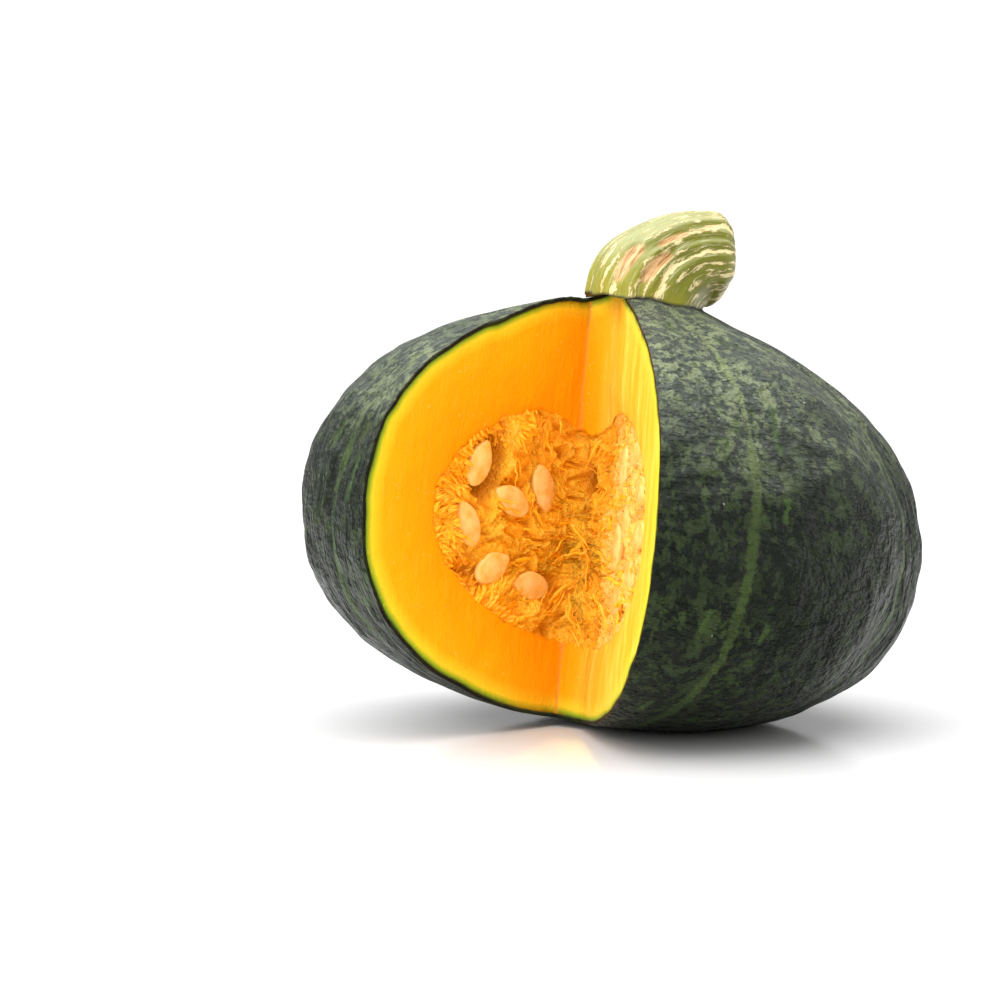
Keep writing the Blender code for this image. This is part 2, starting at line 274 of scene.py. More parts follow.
LEAN_TURN = np.array(LEAN)
azimuths = SEAM_AZIMUTH + np.linspace(0, 2 * math.pi, RIND_AROUND, endpoint=False)
latitudes = np.linspace(-math.pi / 2, math.pi / 2, RIND_ALONG + 1)[1:-1]
grid_azimuth, grid_latitude = (g.ravel() for g in np.meshgrid(azimuths, latitudes))
poles = np.array([-math.pi / 2, math.pi / 2])
all_azimuth = np.concatenate((grid_azimuth, [SEAM_AZIMUTH] * 2))
all_latitude = np.concatenate((grid_latitude, poles))
smooth_skin = skin(all_azimuth, all_latitude) @ LEAN_TURN.T
facet_azimuth, facet_latitude = (g.ravel() for g in np.meshgrid(
    GROOVE_AZIMUTH + np.arange(FACETS_AROUND) * math.pi / (FACETS_AROUND / 2),
    np.arange(-FACETS_HALF_ALONG, FACETS_HALF_ALONG + 1) * math.pi / (2 * FACETS_HALF_ALONG)))
faceted = skin(facet_azimuth, facet_latitude) @ LEAN_TURN.T
rind_low, rind_high = (np.array(corner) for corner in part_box("rind"))
HEART = np.array((0.5 * (rind_low[0] + rind_high[0] - faceted[:, 0].min() - faceted[:, 0].max()),
                  rind_high[1] - faceted[:, 1].max(), rind_high[2] - faceted[:, 2].max()))
smooth_skin += HEART
rings = len(latitudes)
skin_faces = []
for ring in range(rings - 1):
    for side in range(RIND_AROUND):
        following = (side + 1) % RIND_AROUND
        skin_faces.append((ring * RIND_AROUND + side, ring * RIND_AROUND + following,
                           (ring + 1) * RIND_AROUND + following, (ring + 1) * RIND_AROUND + side))
for side in range(RIND_AROUND):
    following = (side + 1) % RIND_AROUND
    skin_faces.append((following, side, len(smooth_skin) - 2))
    skin_faces.append(((rings - 1) * RIND_AROUND + side, (rings - 1) * RIND_AROUND + following,
                       len(smooth_skin) - 1))

body = bmesh.new()
stripe_layer = body.verts.layers.float_vector.new("stripe")
body_points = [body.verts.new(p) for p in smooth_skin]
for corners in skin_faces:
    body.faces.new([body_points[i] for i in corners])
body.normal_update()
for vert, azimuth, latitude in zip(body_points, all_azimuth, all_latitude):
    half_rib = math.pi / RIB_COUNT
    near = abs((azimuth - GROOVE_AZIMUTH + half_rib) % (2 * half_rib) - half_rib)
    vert[stripe_layer] = (near * HALF_WIDTH * math.cos(latitude), latitude * 0.085, azimuth * HALF_WIDTH)
    own = Vector(vert.co) * 1000
    equator = math.cos(latitude)
    swell = noise.noise(own / 34) * 0.0012 + noise.noise(own / 15 + Vector((7, 3, 1))) * 0.0009
    side_way = 0.5 + 0.5 * math.tanh((azimuth - SIDE_AZIMUTH) * 5)
    pleat = Vector((azimuth * 102 / (11 - 6 * side_way), latitude * 85 / (4.5 + 14 * side_way), 2))
    pucker = noise.noise(own / 6.5) * 0.00045 + noise.noise(pleat) * (0.00035 + 0.0005 * side_way)
    pucker *= equator
    crown_lift = CROWN_LIFT * math.exp(-((equator * HALF_WIDTH) / CROWN_LIFT_RADIUS) ** 2) * (latitude > 0)
    vert.co = vert.co + vert.normal * (swell * (0.3 + 0.7 * equator) + pucker - 0.0002 + crown_lift)
    vert.co.z = max(vert.co.z, rind_low[2])
body.normal_update()
skin_tree = BVHTree.FromBMesh(body)

# the wedge: its two cut faces and the narrow face between them, drawn along the knife strokes
CREASE = np.array((-0.129, 0.038)) * HALF_WIDTH
CUT_LEFT, CUT_RIGHT = math.radians(-45.5), math.radians(9.0)
KNUCKLE_TURN, KNUCKLE_WIDTH = math.radians(46.0), 0.0116
KNIFE = np.array((math.tan(math.radians(4.9)), math.tan(math.radians(8.6)), 1.0))


def heading(azimuth):
    return np.array((math.sin(azimuth), -math.cos(azimuth)))


def plane_of(start, along):
    """A point of a cut plane and its normal, which points away from the fruit's flesh."""
    sideways = np.array((along[0], along[1], 0.0))
    normal = np.cross(KNIFE, sideways)
    return HEART + np.array((start[0], start[1], 0.0)), normal / np.linalg.norm(normal)


KNUCKLE = CREASE + heading(KNUCKLE_TURN) * KNUCKLE_WIDTH
cut_planes = [plane_of(CREASE, -heading(CUT_LEFT)), plane_of(CREASE, heading(KNUCKLE_TURN)),
              plane_of(KNUCKLE, heading(CUT_RIGHT))]
cut_planes = [(place, -normal) for place, normal in cut_planes]
for place, normal in cut_planes:
    bmesh.ops.bisect_plane(body, geom=body.verts[:] + body.edges[:] + body.faces[:], dist=1e-7,
                           plane_co=place, plane_no=normal)


def in_wedge(point, margin=0.0):
    return all(np.dot(np.array(point) - place, normal) > margin for place, normal in cut_planes)


bmesh.ops.delete(body, geom=[f for f in body.faces if in_wedge(f.calc_center_median())], context="FACES")
loose = [v for v in body.verts if not v.link_faces]
bmesh.ops.delete(body, geom=loose, context="VERTS")


def boundary_loop(bm):
    """The points round the one opening of a mesh, in order."""
    open_edges = [e for e in bm.edges if e.is_boundary]
    start = open_edges[0].verts[0]
    loop, last, here = [start], None, start
    while True:
        edge = next(e for e in here.link_edges if e.is_boundary and e is not last)
        last, here = edge, edge.other_vert(here)
        if here is start:
            return loop
        loop.append(here)


BACK = Vector((0.25, 0.95, 0.0)).normalized()


def close_behind(loop_points, tree, inset, rings):
    """Rings of points from a loop round the back, inside a surface, and the point they end in."""
    middle = Vector(HEART)
    sheets = []
    for ring in range(1, rings):
        sheet = []
        for point in loop_points:
            toward = (Vector(point) - middle).normalized().slerp(BACK, ring / rings)
            hit, normal, _, _ = tree.ray_cast(middle, toward)
            sheet.append(hit - normal * inset)
        sheets.append(sheet)
    hit, normal, _, _ = tree.ray_cast(middle, BACK)
    return sheets, hit - normal * inset


def sew(bm, first, sheets, last):
    """Faces from a loop of points through rings of new points to one last point."""
    previous = first
    for sheet in sheets:
        current = [bm.verts.new(p) for p in sheet]
        for i in range(len(current)):
            j = (i + 1) % len(current)
            bm.faces.new((previous[i], previous[j], current[j], current[i]))
        previous = current
    tip = bm.verts.new(last)
    for i in range(len(previous)):
        bm.faces.new((previous[i], previous[(i + 1) % len(previous)], tip))


rim = boundary_loop(body)
rim_inside = []
for vert in rim:
    inward = -vert.normal * RIND
    for place, normal in cut_planes:
        if abs(np.dot(np.array(vert.co) - place, normal)) < 2e-5:
            inward -= Vector(normal) * inward.dot(Vector(normal))
    rim_inside.append(vert.co + inward.normalized() * RIND)
inner_rings, inner_tip = close_behind([v.co for v in rim], skin_tree, RIND, 12)
sew(body, rim, [rim_inside] + inner_rings, inner_tip)
bmesh.ops.recalc_face_normals(body, faces=body.faces)

bloom = Finish("waxy_rind")
spot = bloom.place()
stripe = bloom.attribute("stripe")
off_groove, up_skin, round_skin = bloom.xyz(stripe)
wander = bloom.cloud(bloom.pack(up_skin, 0.3, round_skin * 0.2), 0.020, 2.0) - 0.5
ragged = bloom.cloud(spot, 0.0022, 2.0) - 0.5
width = bloom.cloud(bloom.pack(up_skin, 0.9, round_skin * 0.15), 0.030, 1.0)
seam = abs(off_groove + wander * 0.0034 + ragged * 0.0030)
_, _, up = bloom.xyz(bloom.node("ShaderNodeNewGeometry", output=1))
upper = up_skin.rise(0.020, 0.075)
vein = seam.rise(width * 0.0032 + 0.0006 - upper * 0.0008, width * 0.0024 - 0.0004 - upper * 0.0006)
faded = bloom.cloud(bloom.pack(up_skin, 0.4, round_skin * 0.3), 0.012, 2.0).rise(0.36, 0.52)
vein = vein * (1 - upper * 0.45 * (1 - faded)) * (faded * 0.35 + 0.65)
side_vein = abs(off_groove - 0.0105 + wander * 0.008 + ragged * 0.004).rise(0.0015, 0.0005) \
    * bloom.cloud(bloom.pack(up_skin, 0.1, round_skin * 0.4), 0.017, 1.0).rise(0.54, 0.60)
regions = bloom.cloud(spot, 0.030, 2.0)
blotch = bloom.cloud(bloom.stretched(spot, (1, 1, 0.8)), 0.0052, 3.0, 0.62).rise(0.52, 0.585)
fleck = bloom.cloud(bloom.stretched(spot, (1, 1, 0.75)), 0.0030, 2.0, 0.5).rise(0.54, 0.60)
height_share = up.rise(-0.10, 0.95)
# share of waxy bloom and painted overhead sheen, greater where the skin's normal points up
bloom_and_sheen_share = (up + (regions - 0.5) * 0.5).rise(0.24, 0.98)
mottle = (blotch * 0.85).most(fleck * 0.60) * (regions.rise(0.34, 0.58) * 0.60 + height_share * 0.30 + 0.25)
olive_patch = bloom.cloud(spot, 0.011, 4.0, 0.7).rise(0.575, 0.625) * regions.rise(0.48, 0.58)
base = bloom.blend(bloom.cloud(spot, 0.0045, 3.0), NIGHT_GREEN, DARK_GREEN)
# mottles and stripes turn from their shaded to their lit colour with the same share of painted sheen
mottle_colour = bloom.blend(bloom_and_sheen_share, MOTTLE_BELOW, MOTTLE_ABOVE)
skin_colour = bloom.blend(bloom_and_sheen_share * 0.62, base, WAX_AND_SHEEN_GREY)
skin_colour = bloom.blend(mottle, skin_colour, mottle_colour)
skin_colour = bloom.blend(olive_patch * 0.5, skin_colour, OLIVE_PATCH)
skin_colour = bloom.blend(vein * 0.80, skin_colour, bloom.blend(bloom_and_sheen_share, STRIPE_BELOW, STRIPE_ABOVE))
skin_colour = bloom.blend(side_vein * 0.7, skin_colour, SIDE_STRIPE)
dust = bloom.cells(spot, 0.011).rise(0.040, 0.028)
skin_colour = bloom.blend(dust * 0.7, skin_colour, DUST)
pebbles = bloom.cells(spot, 0.0017)
creases = bloom.cloud(bloom.pack(round_skin * 0.40, up_skin, 0.0), 0.0022, 3.0, 0.6)
long_creases = bloom.cloud(bloom.pack(round_skin, up_skin * 0.14, 4.0), 0.0024, 3.0, 0.6)
side_share = round_skin.rise(0.085, 0.145)
wrinkle = bloom.node("ShaderNodeMix", {"data_type": "FLOAT"}, {0: side_share, 2: creases, 3: long_creases})
knobs = bloom.cloud(spot, 0.0048, 2.0, 0.5)
relief = wrinkle * 1.0 + knobs * 1.3 + pebbles * 0.22 - vein * 0.10
# painted highlight: up-facing wrinkle ridges lightened as if catching the overhead light
ridge_sheen = wrinkle.rise(0.50, 0.66) * (height_share * 0.85 + side_share * 0.10)
skin_colour = bloom.blend(ridge_sheen * 0.28, skin_colour, RIDGE_SHEEN_GREY)
rind_finish = bloom.done(skin_colour, (1 - height_share) * 0.05 + 0.27 + bloom_and_sheen_share * 0.08,
                         relief, RIND_RELIEF, specular_ior_level=0.11)

rind = shaped("ribbed_rind", body, rind_finish)
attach(rind, "root")
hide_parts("rind")

# ---- flesh ----
# The firm yellow-orange wall, about 29 mm thick, cut cleanly by the knife; green just under
# the rind, streaked along the strokes, with painted shade deepening the orange towards the crease at the
# back, a painted shadow line in the crease itself, and a paler yellow on the right face that is partly
# coarse streaks and partly painted light.
CAVITY_RADIUS, CAVITY_HALF_HEIGHT = HALF_WIDTH - 0.0286, (CROWN_HEIGHT + BASE_DEPTH) / 2 - 0.0291
CAVITY_SHIFT, CAVITY_SCALLOP = np.array((0.005, -0.003, -0.002)), 0.0022
FACE_HALF = 0.140
CREASE_ROUND, KNUCKLE_ROUND = 0.0008, 0.0030
EYE_HEIGHT = 0.002               # the point of the crease that the rings of the cut faces spread from
PATH_STEP = 0.0001
SKIN_SEARCH, WALL_SEARCH, HALVINGS = (0.02, 0.137), (0.005, 0.12), 18
ROOF_DROOP, DROOP_AT, DROOP_WIDTH = 0.0105, 0.009, 0.017
COLUMNS, WALL_ROWS = 360, 40
RIM_GREEN, RIM_LIME, RIM_YELLOW = (0.045, 0.120, 0.008), (0.28, 0.42, 0.015), (0.88, 0.62, 0.02)
ORANGE_OUT, ORANGE_MIDDLE, ORANGE_IN = (0.93, 0.41, 0.002), (0.93, 0.365, 0.0), (0.90, 0.335, 0.0)
# the first is pale streaks and painted light on the right face; the strokes are the flesh's own streaks
PALE_STREAK_AND_LIGHT_YELLOW, PALE_STROKE, DARK_STROKE = (1.0, 0.62, 0.075), (1.0, 0.70, 0.16), (0.86, 0.33, 0.004)
# painted shade beside the crease, painted shadow in it, and the flesh's own pale pores
CREASE_SHADE_ORANGE, CREASE_SHADOW_ORANGE, PORE = (0.88, 0.29, 0.0), (0.68, 0.19, 0.0), (1.0, 0.62, 0.13)

# one path along both cut faces, seen from above: minus is the left face, plus is the right
path_at = np.arange(-FACE_HALF, FACE_HALF, PATH_STEP)


def travel(distance):
    """Direction of the path along the cut faces, with its two corners a little rounded."""
    left, middle, right = (math.atan2(*reversed(d)) for d in
                           (-heading(CUT_LEFT), heading(KNUCKLE_TURN), heading(CUT_RIGHT)))
    first = np.clip((distance + CREASE_ROUND) / (2 * CREASE_ROUND), 0, 1)
    second = np.clip((distance - KNUCKLE_WIDTH + KNUCKLE_ROUND) / (2 * KNUCKLE_ROUND), 0, 1)
    return left + (middle - left) * first + (right - middle) * second


path_turn = travel(path_at)
path_step = np.stack((np.cos(path_turn), np.sin(path_turn)), -1) * PATH_STEP
path_plan = np.cumsum(path_step, axis=0)
path_plan += CREASE - path_plan[np.searchsorted(path_at, 0.0)]


def on_cut(distance, height, depth=0.0):
    """A point of the cut faces, or a given depth behind them."""
    turn = np.interp(distance, path_at, path_turn)
    plan_x = np.interp(distance, path_at, path_plan[:, 0]) - np.sin(turn) * depth
    plan_y = np.interp(distance, path_at, path_plan[:, 1]) + np.cos(turn) * depth
    height = np.asarray(height, float)
    return np.stack((HEART[0] + plan_x + KNIFE[0] * height, HEART[1] + plan_y + KNIFE[1] * height,
                     HEART[2] + height), -1)


def cavity_reach(point):
    """Below 1 inside the seed cavity, 1 on its wall."""
    own = LEAN_TURN.T @ (np.array(point) - HEART) - CAVITY_SHIFT
    azimuth = math.atan2(own[0], -own[1])
    wall = CAVITY_RADIUS - CAVITY_SCALLOP * groove(azimuth)
    return math.sqrt((own[0] ** 2 + own[1] ** 2) / wall ** 2 + (own[2] / CAVITY_HALF_HEIGHT) ** 2)


def within_skin(point, inset):
    near, normal, _, _ = skin_tree.find_nearest(Vector(point))
    return (Vector(point) - near).dot(normal) < -inset


def search(inside, low, high):
    for _ in range(HALVINGS):
        middle = 0.5 * (low + high)
        low, high = (middle, high) if inside(middle) else (low, middle)
    return low


spread = np.linspace(0, 2 * math.pi, COLUMNS, endpoint=False)
rays = np.stack((np.sin(spread), np.cos(spread)), -1)       # 0 is straight up the crease
skin_reach, wall_reach = np.zeros(COLUMNS), np.zeros(COLUMNS)
for i, (across, upward) in enumerate(rays):
    def at(distance):
        return on_cut(across * distance, EYE_HEIGHT + upward * distance)
    skin_reach[i] = search(lambda d: within_skin(at(d), RIND * 0.96), *SKIN_SEARCH)
    wall_reach[i] = search(lambda d: cavity_reach(at(d)) < 1, *WALL_SEARCH)
    # the roof of the cavity hangs lower beside the crease
    droop = math.exp(-((across * wall_reach[i] - DROOP_AT) / DROOP_WIDTH) ** 2)
    wall_reach[i] -= ROOF_DROOP * droop * max(upward, 0.0)
    wall_reach[i] += (noise.noise(Vector((spread[i] * 9, 0, 3))) * 0.0016
                      + noise.noise(Vector((spread[i] * 34, 5, 3))) * 0.0009)


def weave(form, rings):
    """Faces between each ring of points and the next one out."""
    for inner, outer in zip(rings, rings[1:]):
        for i in range(len(inner)):
            j = (i + 1) % len(inner)
            form.faces.new((inner[i], inner[j], outer[j], outer[i]))


flesh = bmesh.new()
face_layer = flesh.verts.layers.float_vector.new("cut_place")
grid = []
for row in range(WALL_ROWS + 1):
    share = 1 - (1 - row / WALL_ROWS) ** 1.35
    distance = wall_reach + (skin_reach - wall_reach) * share
    across, upward = rays[:, 0] * distance, EYE_HEIGHT + rays[:, 1] * distance
    depths = np.zeros(COLUMNS)
    for i in range(COLUMNS):
        streak = noise.noise(Vector((across[i] * 900, upward[i] * 60, 1)))
        rough = noise.noise(Vector((across[i] * 120, upward[i] * 120, 7)))
        edge = (1 - share) ** 6
        depths[i] = 0.00016 * streak + 0.00035 * rough + 0.0011 * edge
    ring = []
    for i, point in enumerate(on_cut(across, upward, depths)):
        vert = flesh.verts.new(point)
        from_rind = (skin_reach[i] - distance[i]) * (0.8 + 0.2 * abs(rays[i, 1]))
        vert[face_layer] = (across[i], upward[i], from_rind)
        ring.append(vert)
    grid.append(ring)
weave(flesh, grid)
outer_rings, outer_tip = close_behind([v.co for v in grid[-1]], skin_tree, RIND + 0.0001, 12)
sew(flesh, grid[-1], outer_rings, outer_tip)

cavity_ball = bmesh.new()
bmesh.ops.create_uvsphere(cavity_ball, u_segments=48, v_segments=24, radius=1.0)
for vert in cavity_ball.verts:
    own = np.array(vert.co) * (CAVITY_RADIUS, CAVITY_RADIUS, CAVITY_HALF_HEIGHT) + CAVITY_SHIFT
    vert.co = LEAN_TURN @ own + HEART
cavity_ball.normal_update()
cavity_tree = BVHTree.FromBMesh(cavity_ball)
cavity_ball.free()
wall_rings, wall_tip = close_behind([v.co for v in grid[0]], cavity_tree, 0.0, 10)
sew(flesh, grid[0], wall_rings, wall_tip)
bmesh.ops.recalc_face_normals(flesh, faces=flesh.faces)

juice = Finish("orange_flesh")
spot = juice.place()
cut_place = juice.attribute("cut_place")
along_face, up_face, from_skin = juice.xyz(cut_place)
soft = juice.cloud(spot, 0.012, 3.0) - 0.5
layered = from_skin + soft * 0.0012
ramp = juice.node("ShaderNodeValToRGB", {"stops": (
    (0.0, RIM_GREEN), (0.030, RIM_LIME), (0.075, RIM_YELLOW),
    (0.20, ORANGE_OUT), (0.55, ORANGE_MIDDLE), (1.0, ORANGE_IN))},
    {"Fac": layered / 0.034})
right_side = along_face.rise(0.006, 0.016)
strokes = juice.cloud(juice.pack(along_face, up_face * 0.09, 2.0), 0.0011, 4.0, 0.6)
coarse_strokes = juice.cloud(juice.pack(along_face, up_face * 0.10, 5.0), 0.0048, 2.0)
# the right cut face turns paler yellow: partly coarse pale streaks, partly painted light where that face
# stands more in the light
flesh_colour = juice.blend(right_side * (coarse_strokes.rise(0.35, 0.70) * 0.65 + 0.25), ramp,
                           juice.blend(from_skin.rise(0.0006, 0.0030), ramp, PALE_STREAK_AND_LIGHT_YELLOW))
flesh_colour = juice.blend(strokes.rise(0.52, 0.75) * (right_side * 0.45 + 0.08), flesh_colour, PALE_STROKE)
flesh_colour = juice.blend(strokes.rise(0.48, 0.30) * (right_side * 0.35 + 0.06), flesh_colour, DARK_STROKE)
# painted shade: the orange deepens towards the inner corner of the cut, and a painted shadow line runs in
# the crease
crease_shade = abs(along_face + 0.010).rise(0.020, 0.002) * (1 - right_side)
flesh_colour = juice.blend(crease_shade * 0.35, flesh_colour, CREASE_SHADE_ORANGE)
crease_shadow_line = abs(along_face + (soft * 0.0010)).rise(0.0013, 0.0002)
flesh_colour = juice.blend(crease_shadow_line * 0.60, flesh_colour, CREASE_SHADOW_ORANGE)
pores = juice.cells(spot, 0.0032).rise(0.16, 0.07) * juice.cloud(spot, 0.008, 1.0).rise(0.45, 0.6)
flesh_colour = juice.blend(pores * 0.55, flesh_colour, PORE)
grain = strokes * (right_side * 0.7 + 0.35) + juice.cells(spot, 0.0013) * 0.25 - pores * 0.2
flesh_finish = juice.done(flesh_colour, strokes * 0.16 + 0.36, grain, 0.00055,
                          specular_ior_level=0.22)
flesh_piece = shaped("cut_flesh", flesh, flesh_finish)
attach(flesh_piece, "root")
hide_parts("flesh")

# ---- pulp ----
# The soft stringy middle that holds the seeds: lumpy and wet, torn where the wedge was pulled
# out, with two hollows left by seeds, a slit down the corner and a small ringed knot. Painted shade darkens
# it the deeper it lies behind the cut, in the hollows and the slit, painted light brightens the proud
# lumps, and a faint painted glow stands in for light through the wet pulp.
PULP_ROWS, PULP_COLUMNS = 110, 420
PULP_RECESS = 0.0022
HOLLOWS = (                      # along, up, width, height, depth
    (-0.0385, 0.0215, 0.0052, 0.0100, 0.0150), (-0.0335, 0.0250, 0.0030, 0.0085, 0.0120),
    (-0.047, -0.014, 0.0070, 0.0070, 0.010), (0.0030, 0.0130, 0.0022, 0.0050, 0.0060),
    (-0.0080, -0.0190, 0.0060, 0.0030, 0.0045), (-0.0050, -0.0375, 0.0022, 0.0060, 0.0040))
SACS = (                         # along, up, size, rise of the skins left by seeds
    (-0.0275, 0.0300, 0.0062, 0.0034), (-0.0225, 0.0235, 0.0052, 0.0030),
    (-0.0290, 0.0215, 0.0060, 0.0030), (-0.0170, 0.0330, 0.0036, 0.0024),
    (-0.0105, -0.0290, 0.0060, 0.0034), (0.0200, -0.0080, 0.0040, 0.0020))
KNOT, KNOT_RADIUS = (-0.0045, 0.0225), 0.0034
HEART_OF_PULP = (0.004, -0.010)  # along, up: the threads run out from here
SLIT_DEPTH, SLIT_WIDTH, SLIT_LOW, SLIT_HIGH = 0.0065, 0.0015, -0.045, 0.024
SEED_BED, SEED_BED_RADIUS = 0.0012, 0.0054
PULP_ORANGE, PULP_AMBER = (0.93, 0.38, 0.006), (0.98, 0.50, 0.020)
PULP_GOLD, PULP_RUST, PULP_SHADE = (0.99, 0.62, 0.070), (0.70, 0.19, 0.001), (0.66, 0.17, 0.001)
# painted shade for the deepest hollows, painted light for the proud lumps, and the pulp's own cream
PULP_HOLLOW_SHADE, PULP_PROUD_LIGHT, PULP_CREAM = (0.30, 0.055, 0.0), (1.0, 0.60, 0.060), (1.0, 0.66, 0.24)
PULP_RELIEF = 0.0020
# painted glow: a faint orange emission stands in for light shining through the wet pulp
PULP_GLOW, PULP_GLOW_STRENGTH = (1.0, 0.36, 0.0, 1.0), 0.12


seed_names = sorted(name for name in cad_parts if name.startswith("seed_"))
seed_middles = np.array([np.mean(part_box(name), axis=0) for name in seed_names])


def seed_gap(points):
    """Distance from each point to the middle of the nearest seed."""
    return np.min(np.linalg.norm(points[:, None, :] - seed_middles[None], axis=2), axis=1)


def pulp_depth(across, upward, share):
    """How far behind the cut faces the pulp lies; share is 0 at its middle and 1 at its edge."""
    spot = Vector((across * 1000, upward * 1000, 0))
    warp = Vector((noise.noise(spot / 8), noise.noise(spot / 8 + Vector((4, 9, 2))), 0)) * 6
    bent = spot + warp
    aside, above = bent.x - HEART_OF_PULP[0] * 1000, bent.y - HEART_OF_PULP[1] * 1000
    turn, reach = math.atan2(above, aside), math.hypot(above, aside)
    threads_at = Vector((math.cos(turn) * 11, math.sin(turn) * 11, reach / 9))
    if across > 0.012:
        threads_at = Vector((bent.x / 9.0, bent.y / 3.2, 5))
    lumps = (noise.noise(spot / 12) * 0.0024 + noise.noise(bent / 5) * 0.0016
             + noise.noise(bent / 1.9) * 0.0009)
    folds = ((1 - abs(noise.noise(threads_at)) * 3.0) * 0.0015
             + (1 - abs(noise.noise(threads_at * 2.1)) * 2.5) * 0.0005)
    sac = 0.0
    for x, y, size, rise in SACS:
        off = ((across - x) ** 2 + (upward - y) ** 2) / size ** 2
        sac = max(sac, rise * math.sqrt(max(0.0, 1 - off)))
    folds *= 1 - min(1.0, sac / 0.0015) * 0.8
    depth = PULP_RECESS + 0.0009 + lumps - folds - sac
    for x, y, wide, tall, deep in HOLLOWS:
        pit = ((across - x) / wide) ** 2 + ((upward - y) / tall) ** 2
        depth += deep * math.exp(-pit ** 1.6)
    slit_at = KNUCKLE_WIDTH + 0.0050 + 0.0035 * upward / 0.02 * (upward > 0)
    slit_at += 0.10 * min(upward, 0) - 0.0016 * noise.noise(Vector((0, upward * 160, 3)))
    slit = math.exp(-((across - slit_at) / SLIT_WIDTH) ** 2) * (SLIT_LOW < upward < SLIT_HIGH)
    depth += SLIT_DEPTH * slit
    off_knot = math.hypot(across - KNOT[0], upward - KNOT[1])
    depth -= 0.0019 * math.exp(-((off_knot - KNOT_RADIUS) / 0.0011) ** 2)
    depth += 0.0022 * math.exp(-(off_knot / 0.0020) ** 2)
    edge = 1 - (1 - share) ** 2
    return depth * (0.25 + 0.75 * min(1.0, (1 - share) * 9)) + 0.0008 * edge


column_at = np.linspace(0, 2 * math.pi, PULP_COLUMNS, endpoint=False)
edge_reach = np.interp(column_at, spread, wall_reach, period=2 * math.pi) + 0.0006
pulp = bmesh.new()
pulp_layer = pulp.verts.layers.float_vector.new("cut_place")
grain_layer = pulp.verts.layers.float_vector.new("strand_way")
strand_layer = pulp.verts.layers.float.new("loose")
comb_layer = pulp.verts.layers.float.new("comb")
hub = pulp.verts.new(on_cut(0.0, EYE_HEIGHT, pulp_depth(0.0, EYE_HEIGHT, 0.0)))
rows = []
for row in range(1, PULP_ROWS + 1):
    share = (row / PULP_ROWS) ** 0.85
    ring = []
    across = np.sin(column_at) * edge_reach * share
    upward = EYE_HEIGHT + np.cos(column_at) * edge_reach * share
    depths = np.array([pulp_depth(a, u, share) for a, u in zip(across, upward)])
    gaps = seed_gap(on_cut(across, upward, 0.0030))
    depths += SEED_BED * np.exp(-(gaps / SEED_BED_RADIUS) ** 4)
    for i, point in enumerate(on_cut(across, upward, depths)):
        vert = pulp.verts.new(point)
        vert[pulp_layer] = (across[i], upward[i], depths[i])
        toward = math.atan2(upward[i] - HEART_OF_PULP[1], across[i] - HEART_OF_PULP[0])
        toward += 1.6 * noise.noise(Vector((across[i] * 70, upward[i] * 70, 2)))
        ahead = on_cut(across[i] - 0.001 * math.cos(toward), upward[i] - 0.001 * math.sin(toward),
                       depths[i])
        vert[grain_layer] = tuple((ahead - point) * 1000)
        clumps = noise.noise(Vector((across[i] * 130, upward[i] * 130, 8)))
        vert[strand_layer] = max(0.0, 0.45 + 1.6 * clumps) * (share < 0.985) * (gaps[i] > 0.0056)
        comb_side = (across[i] < -0.018) * (upward[i] > -0.035)
        vert[comb_layer] = comb_side * (0.78 < share < 0.995) * (gaps[i] > 0.0060)
        ring.append(vert)
    rows.append(ring)
for i in range(PULP_COLUMNS):
    pulp.faces.new((hub, rows[0][(i + 1) % PULP_COLUMNS], rows[0][i]))
weave(pulp, rows)
back_rings, back_tip = close_behind([v.co for v in rows[-1]], cavity_tree, 0.0003, 8)
sew(pulp, rows[-1], back_rings, back_tip)
bmesh.ops.recalc_face_normals(pulp, faces=pulp.faces)

stringy = Finish("stringy_pulp")
spot = stringy.place()
cut_place = stringy.attribute("cut_place")
along_face, up_face, deep = stringy.xyz(cut_place)
right_side = along_face.rise(0.012, 0.024)
fine = stringy.cloud(spot, 0.0016, 4.0, 0.65)
broad = stringy.cloud(spot, 0.0075, 3.0)
threads = stringy.cloud(stringy.pack(along_face, up_face * 0.22, 1.0), 0.0009, 3.0)
pulp_colour = stringy.blend(broad.rise(0.35, 0.65), PULP_ORANGE, PULP_AMBER)
pulp_colour = stringy.blend(fine.rise(0.50, 0.72) * 0.70, pulp_colour, PULP_GOLD)
pulp_colour = stringy.blend(threads.rise(0.47, 0.32) * 0.45, pulp_colour, PULP_RUST)
# painted shade: darker the deeper the pulp lies behind the cut, darkest in the hollows and the slit;
# painted light on the proud lumps
pulp_colour = stringy.blend(deep.rise(0.0026, 0.0060) * 0.70, pulp_colour, PULP_SHADE)
pulp_colour = stringy.blend(deep.rise(0.0055, 0.0115) * 0.85, pulp_colour, PULP_HOLLOW_SHADE)
pulp_colour = stringy.blend(deep.rise(0.0018, 0.0002) * 0.45, pulp_colour, PULP_PROUD_LIGHT)
pulp_colour = stringy.blend(right_side * fine.rise(0.30, 0.62) * 0.55, pulp_colour, PULP_CREAM)
clots = stringy.cloud(spot, 0.0030, 3.0, 0.6)
pulp_relief = fine * 0.6 + threads * 0.4 + clots * 1.2 + stringy.cells(spot, 0.0011) * 0.2
pulp_finish = stringy.done(pulp_colour, fine * 0.25 + 0.28, pulp_relief, PULP_RELIEF,
                           specular_ior_level=0.35, emission_color=PULP_GLOW,
                           emission_strength=PULP_GLOW_STRENGTH)
pulp_piece = shaped("torn_pulp", pulp, pulp_finish)
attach(pulp_piece, "root")
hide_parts("pulp")

